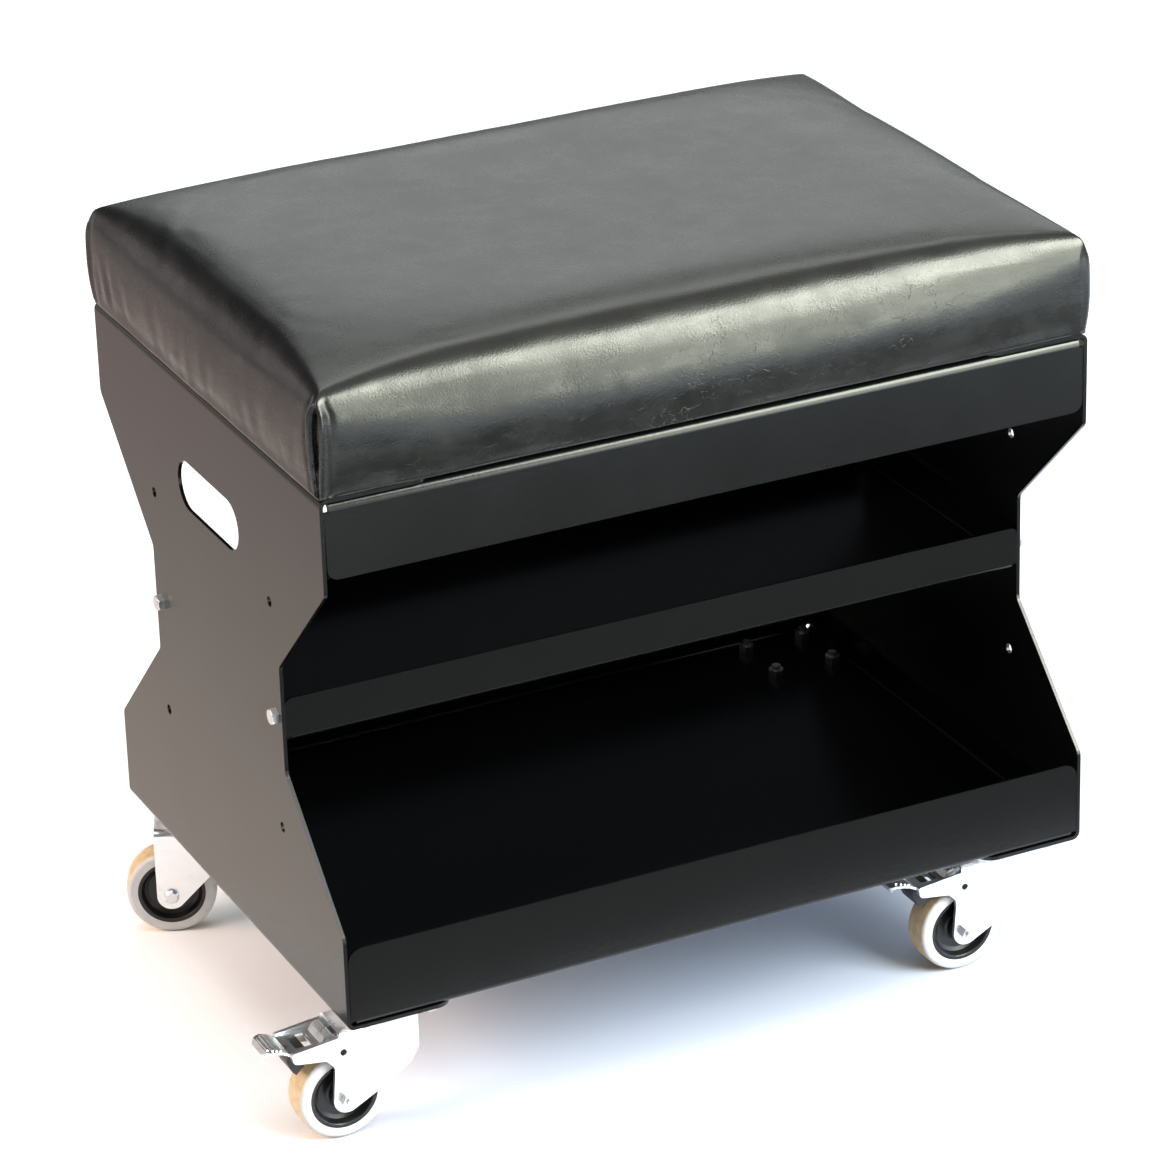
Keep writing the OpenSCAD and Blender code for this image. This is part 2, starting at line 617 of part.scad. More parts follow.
module castor_plate_fl() { color(zinc) at_plate(0) castor_plate(); }
module castor_plate_fr() { color(zinc) at_plate(1) castor_plate(); }
module castor_plate_rl() { color(zinc) at_plate(2) castor_plate(); }
module castor_plate_rr() { color(zinc) at_plate(3) castor_plate(); }
module kingpin_fl() { color(zinc) at_plate(0) kingpin(); }
module kingpin_fr() { color(zinc) at_plate(1) kingpin(); }
module kingpin_rl() { color(zinc) at_plate(2) kingpin(); }
module kingpin_rr() { color(zinc) at_plate(3) kingpin(); }
module swivel_balls_fl() { color("silver") at_castor(0) swivel_balls(); }
module swivel_balls_fr() { color("silver") at_castor(1) swivel_balls(); }
module swivel_balls_rl() { color("silver") at_castor(2) swivel_balls(); }
module swivel_balls_rr() { color("silver") at_castor(3) swivel_balls(); }
module fork_fl() { color(zinc) at_castor(0) fork(trail_front, true); }
module fork_fr() { color(zinc) at_castor(1) fork(trail_front, true); }
module fork_rl() { color(zinc) at_castor(2) fork(trail_rear, false); }
module fork_rr() { color(zinc) at_castor(3) fork(trail_rear, false); }
module axle_bolt_fl() { color(zinc) at_castor(0) axle_bolt(trail_front, false); }
module axle_bolt_fr() { color(zinc) at_castor(1) axle_bolt(trail_front, false); }
module axle_bolt_rl() { color(zinc) at_castor(2) axle_bolt(trail_rear, true); }
module axle_bolt_rr() { color(zinc) at_castor(3) axle_bolt(trail_rear, true); }
module axle_nut_fl() { color(zinc) at_castor(0) axle_nut(trail_front, false); }
module axle_nut_fr() { color(zinc) at_castor(1) axle_nut(trail_front, false); }
module axle_nut_rl() { color(zinc) at_castor(2) axle_nut(trail_rear, true); }
module axle_nut_rr() { color(zinc) at_castor(3) axle_nut(trail_rear, true); }
module axle_sleeve_fl() { color(zinc) at_castor(0) axle_sleeve(trail_front); }
module axle_sleeve_fr() { color(zinc) at_castor(1) axle_sleeve(trail_front); }
module axle_sleeve_rl() { color(zinc) at_castor(2) axle_sleeve(trail_rear); }
module axle_sleeve_rr() { color(zinc) at_castor(3) axle_sleeve(trail_rear); }
module wheel_centre_fl() { color(black) at_castor(0) wheel_centre(trail_front); }
module wheel_centre_fr() { color(black) at_castor(1) wheel_centre(trail_front); }
module wheel_centre_rl() { color(black) at_castor(2) wheel_centre(trail_rear); }
module wheel_centre_rr() { color(black) at_castor(3) wheel_centre(trail_rear); }
module tyre_fl() { color([0.8, 0.8, 0.78]) at_castor(0) tyre(trail_front); }
module tyre_fr() { color([0.8, 0.8, 0.78]) at_castor(1) tyre(trail_front); }
module tyre_rl() { color([0.8, 0.8, 0.78]) at_castor(2) tyre(trail_rear); }
module tyre_rr() { color([0.8, 0.8, 0.78]) at_castor(3) tyre(trail_rear); }
module brake_pedal_fl() { color(zinc) at_castor(0) brake_pedal(); }
module brake_pedal_fr() { color(zinc) at_castor(1) brake_pedal(); }
module brake_shoe_fl() { color([0.08, 0.08, 0.08]) at_castor(0) brake_shoe(); }
module brake_shoe_fr() { color([0.08, 0.08, 0.08]) at_castor(1) brake_shoe(); }
module pedal_pin_fl() { color(zinc) at_castor(0) pedal_pin(); }
module pedal_pin_fr() { color(zinc) at_castor(1) pedal_pin(); }
module pedal_spring_fl() { color("silver") at_castor(0) pedal_spring(); }
module pedal_spring_fr() { color("silver") at_castor(1) pedal_spring(); }

// ---------- assembly ----------

module placed() { translate([shift_x, 0, 0]) children(); }

placed() left_side_panel();
placed() right_side_panel();
placed() front_rail();
placed() rear_rail();
placed() middle_shelf();
placed() bottom_tray();
placed() shelf_bolts();
placed() shelf_nuts();
placed() seat_board();
placed() seat_foam();
placed() seat_cover();
placed() cover_staples();
placed() seat_screws();
placed() castor_plate_bolts();
placed() castor_plate_nuts();
placed() castor_plate_fl();
placed() castor_plate_fr();
placed() castor_plate_rl();
placed() castor_plate_rr();
placed() kingpin_fl();
placed() kingpin_fr();
placed() kingpin_rl();
placed() kingpin_rr();
placed() swivel_balls_fl();
placed() swivel_balls_fr();
placed() swivel_balls_rl();
placed() swivel_balls_rr();
placed() fork_fl();
placed() fork_fr();
placed() fork_rl();
placed() fork_rr();
placed() axle_bolt_fl();
placed() axle_bolt_fr();
placed() axle_bolt_rl();
placed() axle_bolt_rr();
placed() axle_nut_fl();
placed() axle_nut_fr();
placed() axle_nut_rl();
placed() axle_nut_rr();
placed() axle_sleeve_fl();
placed() axle_sleeve_fr();
placed() axle_sleeve_rl();
placed() axle_sleeve_rr();
placed() wheel_centre_fl();
placed() wheel_centre_fr();
placed() wheel_centre_rl();
placed() wheel_centre_rr();
placed() tyre_fl();
placed() tyre_fr();
placed() tyre_rl();
placed() tyre_rr();
placed() brake_pedal_fl();
placed() brake_pedal_fr();
placed() brake_shoe_fl();
placed() brake_shoe_fr();
placed() pedal_pin_fl();
placed() pedal_pin_fr();
placed() pedal_spring_fl();
placed() pedal_spring_fr();
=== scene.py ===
import json
import math
import random

import bpy
import numpy as np
from mathutils import Matrix, Quaternion, Vector, noise
from mathutils.kdtree import KDTree


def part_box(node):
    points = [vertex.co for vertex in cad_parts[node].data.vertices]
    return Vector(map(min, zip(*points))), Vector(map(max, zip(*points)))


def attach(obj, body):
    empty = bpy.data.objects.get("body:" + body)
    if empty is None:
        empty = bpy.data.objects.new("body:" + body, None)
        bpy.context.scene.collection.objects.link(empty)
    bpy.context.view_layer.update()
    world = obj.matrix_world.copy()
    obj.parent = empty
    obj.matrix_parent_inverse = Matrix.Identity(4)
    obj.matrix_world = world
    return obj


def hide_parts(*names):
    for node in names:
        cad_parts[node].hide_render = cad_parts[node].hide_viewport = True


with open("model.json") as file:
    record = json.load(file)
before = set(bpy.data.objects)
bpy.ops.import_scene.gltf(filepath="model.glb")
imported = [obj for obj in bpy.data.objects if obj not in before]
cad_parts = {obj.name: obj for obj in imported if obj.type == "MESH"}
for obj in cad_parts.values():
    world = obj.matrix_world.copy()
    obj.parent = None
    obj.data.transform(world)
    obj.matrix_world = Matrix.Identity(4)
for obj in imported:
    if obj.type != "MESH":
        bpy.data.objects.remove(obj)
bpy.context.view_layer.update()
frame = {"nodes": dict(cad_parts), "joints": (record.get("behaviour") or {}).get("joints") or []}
nodes = frame["nodes"]
scene = bpy.context.scene
scene.view_settings.view_transform = "Standard"
scene.view_settings.look = "None"

MM = 0.001
# the frame's middle in the part's coordinates: half way between the two side panels
MID_X = (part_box("left_side_panel")[0].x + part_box("right_side_panel")[1].x) / 2
SEAT_LO, SEAT_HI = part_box("seat_cover")
SEAT_Z = SEAT_LO.z / MM
HX = (SEAT_HI.x - SEAT_LO.x) / 2 / MM
HY = (SEAT_HI.y - SEAT_LO.y) / 2 / MM

# ---------------------------------------------------------------- camera

cam = bpy.data.objects.new("camera", bpy.data.cameras.new("camera"))
scene.collection.objects.link(cam)
cam.data.sensor_width = 36
cam.data.lens = 153.53
cam.data.clip_start, cam.data.clip_end = 0.1, 100
cam.location = (-1.02385, -2.18251, 1.33582)
cam.rotation_mode = "QUATERNION"
cam.rotation_quaternion = Quaternion((0.8192987, 0.5266671, -0.1104609, -0.1979138))
scene.camera = cam


# ---------------------------------------------------------------- material tools

class Mat:
    """A node material with a Principled shader and a few helpers that build its textures."""

    def __init__(self, name, **values):
        self.m = bpy.data.materials.new(name)
        self.m.use_nodes = True
        self.nt = self.m.node_tree
        self.nt.nodes.clear()
        self.out = self.nt.nodes.new("ShaderNodeOutputMaterial")
        self.p = self.nt.nodes.new("ShaderNodeBsdfPrincipled")
        self.link(self.p.outputs[0], self.out.inputs[0])
        self.tc = self.nt.nodes.new("ShaderNodeTexCoord")
        self.co = self.tc.outputs["Object"]
        for k, v in values.items():
            self.set(k, v)

    def set(self, key, value):
        names = {"color": "Base Color", "rough": "Roughness", "metal": "Metallic", "ior": "IOR", "spec": "Specular IOR Level",
                 "coat": "Coat Weight", "coat_rough": "Coat Roughness", "coat_ior": "Coat IOR", "sheen": "Sheen Weight",
                 "sheen_rough": "Sheen Roughness", "sss": "Subsurface Weight", "normal": "Normal", "aniso": "Anisotropic"}
        s = self.p.inputs[names[key]]
        if isinstance(value, bpy.types.NodeSocket):
            self.link(value, s)
        elif key == "color":
            s.default_value = (*value, 1)
        else:
            s.default_value = value

    def link(self, a, b):
        self.nt.links.new(a, b)

    def node(self, kind, **props):
        n = self.nt.nodes.new("ShaderNode" + kind)
        for k, v in props.items():
            setattr(n, k, v)
        return n

    def feed(self, sock, v):
        if isinstance(v, bpy.types.NodeSocket):
            self.link(v, sock)
        else:
            sock.default_value = v

    def math(self, op, a, b=0.0, c=0.0, clamp=False):
        n = self.node("Math", operation=op, use_clamp=clamp)
        for s, v in zip(n.inputs, (a, b, c)):
            self.feed(s, v)
        return n.outputs[0]

    def vec(self, op, a, b=(0, 0, 0)):
        n = self.node("VectorMath", operation=op)
        self.feed(n.inputs[0], a)
        if op == "SCALE":
            self.feed(n.inputs["Scale"], b)
        else:
            self.feed(n.inputs[1], b)
        return n.outputs["Value"] if op in ("LENGTH", "DOT_PRODUCT", "DISTANCE") else n.outputs["Vector"]

    def noise(self, size_mm, detail=2.0, rough=0.5, distort=0.0, co=None, stretch=(1, 1, 1), w=None):
        c = co or self.co
        if stretch != (1, 1, 1):
            c = self.vec("MULTIPLY", c, stretch)
        n = self.node("TexNoise")
        n.inputs["Scale"].default_value = 1000.0 / size_mm
        n.inputs["Detail"].default_value = detail
        n.inputs["Roughness"].default_value = rough
        n.inputs["Distortion"].default_value = distort
        self.link(c, n.inputs["Vector"])
        return n.outputs["Fac"]

    def voronoi(self, size_mm, feature="F1", co=None, rand=1.0, stretch=(1, 1, 1), out="Distance"):
        c = co or self.co
        if stretch != (1, 1, 1):
            c = self.vec("MULTIPLY", c, stretch)
        n = self.node("TexVoronoi", feature=feature)
        n.inputs["Scale"].default_value = 1000.0 / size_mm
        n.inputs["Randomness"].default_value = rand
        self.link(c, n.inputs["Vector"])
        return n.outputs[out]

    def ramp(self, fac, *stops, mode="LINEAR"):
        n = self.node("ValToRGB")
        n.color_ramp.interpolation = mode
        e = n.color_ramp.elements
        while len(e) > len(stops):
            e.remove(e[-1])
        while len(e) < len(stops):
            e.new(1.0)
        for el, (pos, col) in zip(e, stops):
            el.position = pos
            el.color = (*col, 1) if hasattr(col, "__len__") else (col, col, col, 1)
        self.link(fac, n.inputs[0])
        return n.outputs[0]

    def range(self, v, a, b, c, d, clamp=True):
        n = self.node("MapRange", clamp=clamp)
        for s, x in zip(n.inputs, (v, a, b, c, d)):
            self.feed(s, x)
        return n.outputs[0]

    def mix(self, fac, a, b, blend="MIX"):
        n = self.node("Mix", data_type="RGBA", blend_type=blend)
        self.feed(n.inputs[0], fac)
        for s, v in ((n.inputs[6], a), (n.inputs[7], b)):
            if isinstance(v, bpy.types.NodeSocket):
                self.link(v, s)
            else:
                s.default_value = (*v, 1)
        return n.outputs[2]

    def warp(self, size_mm, amount_mm, co=None):
        """Coordinates pushed about by a noise."""
        c = co or self.co
        n = self.node("TexNoise")
        n.inputs["Scale"].default_value = 1000.0 / size_mm
        n.inputs["Detail"].default_value = 2
        self.link(c, n.inputs["Vector"])
        d = self.vec("SUBTRACT", n.outputs["Color"], (0.5, 0.5, 0.5))
        return self.vec("ADD", c, self.vec("SCALE", d, amount_mm * MM * 2))

    def bump(self, height, depth_mm, normal=None, strength=1.0):
        n = self.node("Bump")
        n.inputs["Strength"].default_value = strength
        n.inputs["Distance"].default_value = depth_mm * MM
        self.link(height, n.inputs["Height"])
        if normal is not None:
            self.link(normal, n.inputs["Normal"])
        return n.outputs[0]


def assign(mat, *objs):
    for o in objs:
        o.data.materials.clear()
        o.data.materials.append(mat.m if isinstance(mat, Mat) else mat)


# ---------------------------------------------------------------- materials

def powder_coat(name):
    m = Mat(name, ior=1.42)
    dust = m.noise(38, 4, 0.6, 0.6)
    m.set("color", m.ramp(dust, (0.25, (0.0026, 0.0028, 0.0029)), (0.75, (0.0040, 0.0043, 0.0043))))
    smudge = m.noise(90, 5, 0.6, 0.8)
    fine = m.noise(0.9, 2, 0.5)
    r = m.math("ADD", m.range(smudge, 0.3, 0.7, 0.19, 0.235), m.range(fine, 0.3, 0.7, -0.015, 0.02))
    m.set("rough", r)
    peel = m.noise(2.6, 2, 0.45)
    m.set("normal", m.bump(fine, 0.008, m.bump(peel, 0.035)))
    return m


def zinc(name, color=(0.80, 0.82, 0.84), rough=0.24):
    m = Mat(name, metal=1.0)
    tone = m.noise(14, 4, 0.6, 0.5)
    base = m.ramp(tone, (0.3, tuple(c * 0.93 for c in color)), (0.7, color))
    m.set("color", m.mix(m.math("MULTIPLY", m.noise(1.6, 3), 0.08), base, tuple(c * 0.75 for c in color)))
    r = m.math("ADD", m.range(tone, 0.3, 0.7, rough - 0.04, rough + 0.06), m.range(m.noise(2.2, 3, 0.6), 0.35, 0.65, -0.02, 0.03))
    m.set("rough", r)
    m.set("normal", m.bump(m.noise(1.1, 2, 0.5), 0.0015, m.bump(m.noise(12, 2, 0.5), 0.015)))
    return m


def plastic(name, color, rough=0.42):
    m = Mat(name, ior=1.46)
    m.set("color", m.ramp(m.noise(9, 4, 0.6), (0.3, tuple(c * 0.8 for c in color)), (0.7, tuple(c * 1.25 for c in color))))
    m.set("rough", m.range(m.noise(5, 3, 0.6), 0.3, 0.7, rough - 0.06, rough + 0.07))
    m.set("normal", m.bump(m.noise(0.5, 2, 0.5), 0.012, m.bump(m.noise(3.0, 2), 0.03)))
    return m


def rubber(name, axis, centre):
    """Grey rubber tyre: paler on its sides, browner and worn on the tread, which the way the surface faces along the
    axle tells apart.
    """
    m = Mat(name, ior=1.48)
    c = m.vec("SUBTRACT", m.co, tuple(centre))
    along = m.vec("DOT_PRODUCT", c, tuple(axis))
    n = m.vec("DOT_PRODUCT", m.tc.outputs["Normal"], tuple(axis))
    side = m.math("ABSOLUTE", n)
    tread = m.range(m.math("ADD", side, m.math("MULTIPLY", m.math("SUBTRACT", m.noise(2.4, 3, 0.6), 0.5), 0.25)), 0.25, 0.72, 1.0, 0.0)
    pale = m.ramp(m.noise(11, 5, 0.62, 0.5), (0.25, (0.37, 0.367, 0.362)), (0.75, (0.48, 0.478, 0.473)))
    tan = m.ramp(m.noise(4.5, 4, 0.62), (0.25, (0.36, 0.25, 0.125)), (0.75, (0.56, 0.42, 0.25)))
    col = m.mix(tread, pale, tan)
    specks = m.range(m.voronoi(1.9, co=m.warp(6, 1.2)), 0.06, 0.16, 0.35, 0.0)
    col = m.mix(m.math("MULTIPLY", specks, m.range(m.noise(13, 2), 0.45, 0.65, 0.1, 1.0)), col, (0.25, 0.22, 0.18))
    m.set("color", col)
    m.set("rough", m.range(m.noise(3.5, 3), 0.3, 0.7, 0.46, 0.62))
    m.set("normal", m.bump(m.noise(0.45, 2), 0.015, m.bump(m.noise(2.6, 3, 0.6), 0.06)))
    return m


def leatherette(name):
    m = Mat(name, ior=1.5)
    up = m.node("SeparateXYZ")
    m.link(m.tc.outputs["Normal"], up.inputs[0])
    at = m.node("SeparateXYZ")
    m.link(m.co, at.inputs[0])
    side = m.range(up.outputs[2], 0.30, 0.75, 1.0, 0.12)       # the handled sides are more creased than the top
    front = m.range(up.outputs[1], -0.75, -0.35, 1.0, 0.0)
    # the front is creased most a little right of its middle, where legs rub it
    rubbed = m.math("MULTIPLY", front, m.range(m.math("ABSOLUTE", m.math("SUBTRACT", at.outputs[0], MID_X + 0.03)), 0.05, 0.13, 1.0, 0.0))
    # pebble grain
    cell = m.voronoi(1.15, "F1", co=m.warp(9, 1.2), rand=0.9)
    grain = m.range(cell, 0.05, 0.75, 1.0, 0.0)
    fine = m.noise(0.5, 2, 0.6)
    # creases: thin branching lines in patches, at two sizes
    c1 = m.range(m.voronoi(15, "DISTANCE_TO_EDGE", co=m.warp(8, 8.0), stretch=(0.7, 0.7, 1.4)), 0.0, 0.022, 1.0, 0.0)
    c2 = m.range(m.voronoi(5.6, "DISTANCE_TO_EDGE", co=m.warp(4.5, 5.0), stretch=(0.6, 0.6, 1.5)), 0.0, 0.04, 1.0, 0.0)
    p1 = m.range(m.math("ADD", m.noise(46, 3, 0.62, 0.7), m.math("MULTIPLY", rubbed, 0.09)), 0.50, 0.68, 0.0, 1.0)
    p2 = m.range(m.math("ADD", m.noise(23, 3, 0.62, 0.7), m.math("MULTIPLY", rubbed, 0.09)), 0.54, 0.70, 0.0, 0.5)
    crease = m.math("MULTIPLY", m.math("MAXIMUM", m.math("MULTIPLY", c1, p1), m.math("MULTIPLY", c2, p2)), side)
    broken = m.range(m.noise(3.4, 3, 0.6), 0.44, 0.58, 0.0, 1.0)
    crease = m.math("MULTIPLY", crease, broken)
    soft = m.noise(24, 4, 0.55, 0.4)
    brushed = m.noise(8, 4, 0.6, 0.5, stretch=(0.35, 0.35, 1.2))
    tone = m.ramp(soft, (0.25, (0.0055, 0.0058, 0.0056)), (0.75, (0.0088, 0.0091, 0.0087)))
    # the creases are coloured lighter: partly the crackle's own paler colour, partly a painted highlight standing for
    # the light the micro-creases catch
    m.set("color", m.mix(m.math("MULTIPLY", crease, 0.4), tone, (0.075, 0.076, 0.069)))
    uneven = m.math("MULTIPLY", m.math("SUBTRACT", m.math("ADD", brushed, soft), 1.0), m.range(side, 0.2, 1.0, 0.10, 0.30))
    r = m.math("ADD", m.math("ADD", uneven, 0.275), m.range(cell, 0.1, 0.7, -0.015, 0.02))
    m.set("rough", m.math("ADD", r, m.math("MULTIPLY", crease, 0.08)))
    n1 = m.bump(m.math("MULTIPLY", soft, side), 0.14)
    n2 = m.bump(m.math("MULTIPLY", brushed, side), 0.055, n1)
    n3 = m.bump(crease, 0.065, n2)
    m.set("normal", m.bump(m.math("ADD", grain, m.math("MULTIPLY", fine, 0.5)), 0.022, n3))
    return m


def foam_mat(name):
    m = Mat(name, ior=1.3)
    pores = m.voronoi(1.1, "F1", rand=1.0)
    # the pores are coloured darker than the foam: painted shade inside its open cells
    m.set("color", m.mix(m.range(pores, 0.1, 0.6, 0.0, 0.8), (0.30, 0.26, 0.13), m.ramp(m.noise(40, 3), (0.3, (0.66, 0.60, 0.36)), (0.7, (0.74, 0.68, 0.45)))))
    m.set("rough", 0.9)
    m.set("normal", m.bump(pores, 0.4))
    return m


def plywood(name, z0, thick):
    """Birch ply: long grain on the faces, pale and dark plies round the edge."""
    m = Mat(name, ior=1.45)
    sep = m.node("SeparateXYZ")
    m.link(m.co, sep.inputs[0])
    long = m.noise(26, 5, 0.62, 0.7, stretch=(0.06, 1, 1))
    ring = m.noise(5, 3, 0.5, 0.3, stretch=(0.03, 1, 0.2))
    face = m.ramp(m.math("ADD", m.math("MULTIPLY", long, 0.7), m.math("MULTIPLY", ring, 0.3)),
                  (0.30, (0.40, 0.26, 0.13)), (0.5, (0.56, 0.40, 0.22)), (0.72, (0.66, 0.50, 0.31)))
    ply = m.math("FRACT", m.math("MULTIPLY", m.math("SUBTRACT", sep.outputs[2], z0 * MM), 4.5 / (thick * MM)))
    plies = m.ramp(ply, (0.0, (0.24, 0.14, 0.07)), (0.06, (0.58, 0.42, 0.25)), (0.5, (0.60, 0.44, 0.26)), (0.54, (0.36, 0.22, 0.11)), (0.94, (0.42, 0.27, 0.14)), (1.0, (0.24, 0.14, 0.07)))
    up = m.node("SeparateXYZ")
    m.link(m.tc.outputs["Normal"], up.inputs[0])
    m.set("color", m.mix(m.range(m.math("ABSOLUTE", up.outputs[2]), 0.4, 0.6, 0.0, 1.0), plies, face))
    m.set("rough", m.range(long, 0.3, 0.7, 0.55, 0.75))
    m.set("normal", m.bump(ring, 0.05, m.bump(m.noise(0.6, 2, stretch=(0.1, 1, 1)), 0.03)))
    return m


coat = powder_coat("satin_powder_coat")
castor_zinc = zinc("castor_zinc", (0.88, 0.89, 0.90), 0.30)
bolt_zinc = zinc("bolt_zinc", (0.74, 0.75, 0.76), 0.3)
steel = zinc("bright_steel", (0.66, 0.66, 0.67), 0.16)
black_plastic = plastic("black_plastic", (0.0035, 0.0035, 0.0037), 0.34)
brake_plastic = plastic("brake_plastic", (0.012, 0.012, 0.012), 0.45)
leather = leatherette("black_leatherette")
foam = foam_mat("seat_foam")
ply = plywood("birch_ply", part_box("seat_board")[0].z / MM, 12.0)

for name in ("left_side_panel", "right_side_panel", "front_rail", "rear_rail", "middle_shelf", "bottom_tray"):
    assign(coat, nodes[name])
for name in ("shelf_bolts", "shelf_nuts", "seat_screws", "castor_plate_bolts", "castor_plate_nuts", "cover_staples"):
    assign(bolt_zinc, nodes[name])
assign(ply, nodes["seat_board"])
assign(foam, nodes["seat_foam"])
joints = {j["name"]: j for j in frame["joints"]}
for c in ("fl", "fr", "rl", "rr"):
    for part in ("castor_plate_", "kingpin_", "fork_", "axle_sleeve_"):
        assign(castor_zinc, nodes[part + c])
    for part in ("axle_bolt_", "axle_nut_"):
        assign(bolt_zinc, nodes[part + c])
    assign(steel, nodes["swivel_balls_" + c])
    assign(black_plastic, nodes["wheel_centre_" + c])
    j = joints["wheel_%s_spin" % c]
    assign(rubber("grey_rubber_" + c, j["axis"], j["pos_m"]), nodes["tyre_" + c])
    if c in ("fl", "fr"):
        assign(castor_zinc, nodes["brake_pedal_" + c], nodes["pedal_pin_" + c])
        assign(brake_plastic, nodes["brake_shoe_" + c])
        assign(steel, nodes["pedal_spring_" + c])


# ---------------------------------------------------------------- seat cushion

CROWN_EDGE = 61.8      # height of the top above the frame where the edge's rounding starts
CROWN_MID = 0.6        # and how much more it has in the middle
CORNER_DROP = 10.0     # and how much the corners are pulled down
CORNER_TOP = 4.5       # corner radius in plan where the top begins


def graded(half, step, fine, zone):
    """Grid lines from -half to half: fine near both ends, coarse between."""
    a = []
    x = half
    while x > half - zone:
        a.append(x)
        x -= fine
    s = fine
    while x > step:
        a.append(x)
        s = min(step, s * 1.25)
        x -= s
    a = sorted(set(round(v, 4) for v in a))
    return [-v for v in reversed(a)] + [0.0] + a


def smooth01(t):
    t = max(0.0, min(1.0, t))
    return t * t * (3 - 2 * t)


def form(side, u):
    """(how far in the rounding reaches, height of the widest place, power) at place u, -1 to 1, along a side.
    The front's middle is rounder than the rest; towards the corners the cover pulls tight."""
    k = 1 - abs(max(-1.0, min(1.0, u))) ** 3
    if side == "y-":
        return 8.5 + 17.5 * k, 34 - 20.0 * k, 2.6 - 0.35 * k
    return 8.5 + 14.5 * k, 34 - 14.0 * k, 2.6 - 0.2 * k


def side_inset(z, side="x-", u=1.0):
    """How far the side is in from its widest place at height z above the frame."""
    reach, mid, power = form(side, u)
    if z < mid:
        t = 1 - z / mid
        return 1.6 * t ** 3
    s = min(1.0, (z - mid) / (CROWN_EDGE - mid))
    return reach * (1 - max(0.0, 1 - s ** power) ** (1 / power))


def near_corner(x, y, along, across):
    """1 at a corner of the seat. Falls to 0 over the length along on the edges, and over across away from them."""
    dx, dy = max(0.0, HX - abs(x)), max(0.0, HY - abs(y))
    w = dx / (dx + dy + 1e-6)
    far = lambda d, span: max(0.0, 1 - d / span) ** 2
    return w * far(dx, along) * far(dy, across) + (1 - w) * far(dx, across) * far(dy, along)


def top_height(x, y):
    u = min(1.0, abs(x) / HX)
    v = min(1.0, abs(y) / HY)
    return CROWN_EDGE + CROWN_MID * (1 - u ** 3) * (1 - v ** 3) - CORNER_DROP * near_corner(x, y, 150, 85)


def plan_point(px, py, inset, corner):
    """A point of the sharp rectangle's outline moved in by inset and round a corner radius."""
    hx, hy = HX - inset, HY - inset
    x, y = px / HX * hx, py / HY * hy
    r = corner
    qx = max(-(hx - r), min(hx - r, x))
    qy = max(-(hy - r), min(hy - r, y))
    dx, dy = x - qx, y - qy
    d = math.hypot(dx, dy)
    if d > 1e-6 and (abs(dx) > 1e-6 and abs(dy) > 1e-6):
        return qx + dx / d * r, qy + dy / d * r
    return x, y


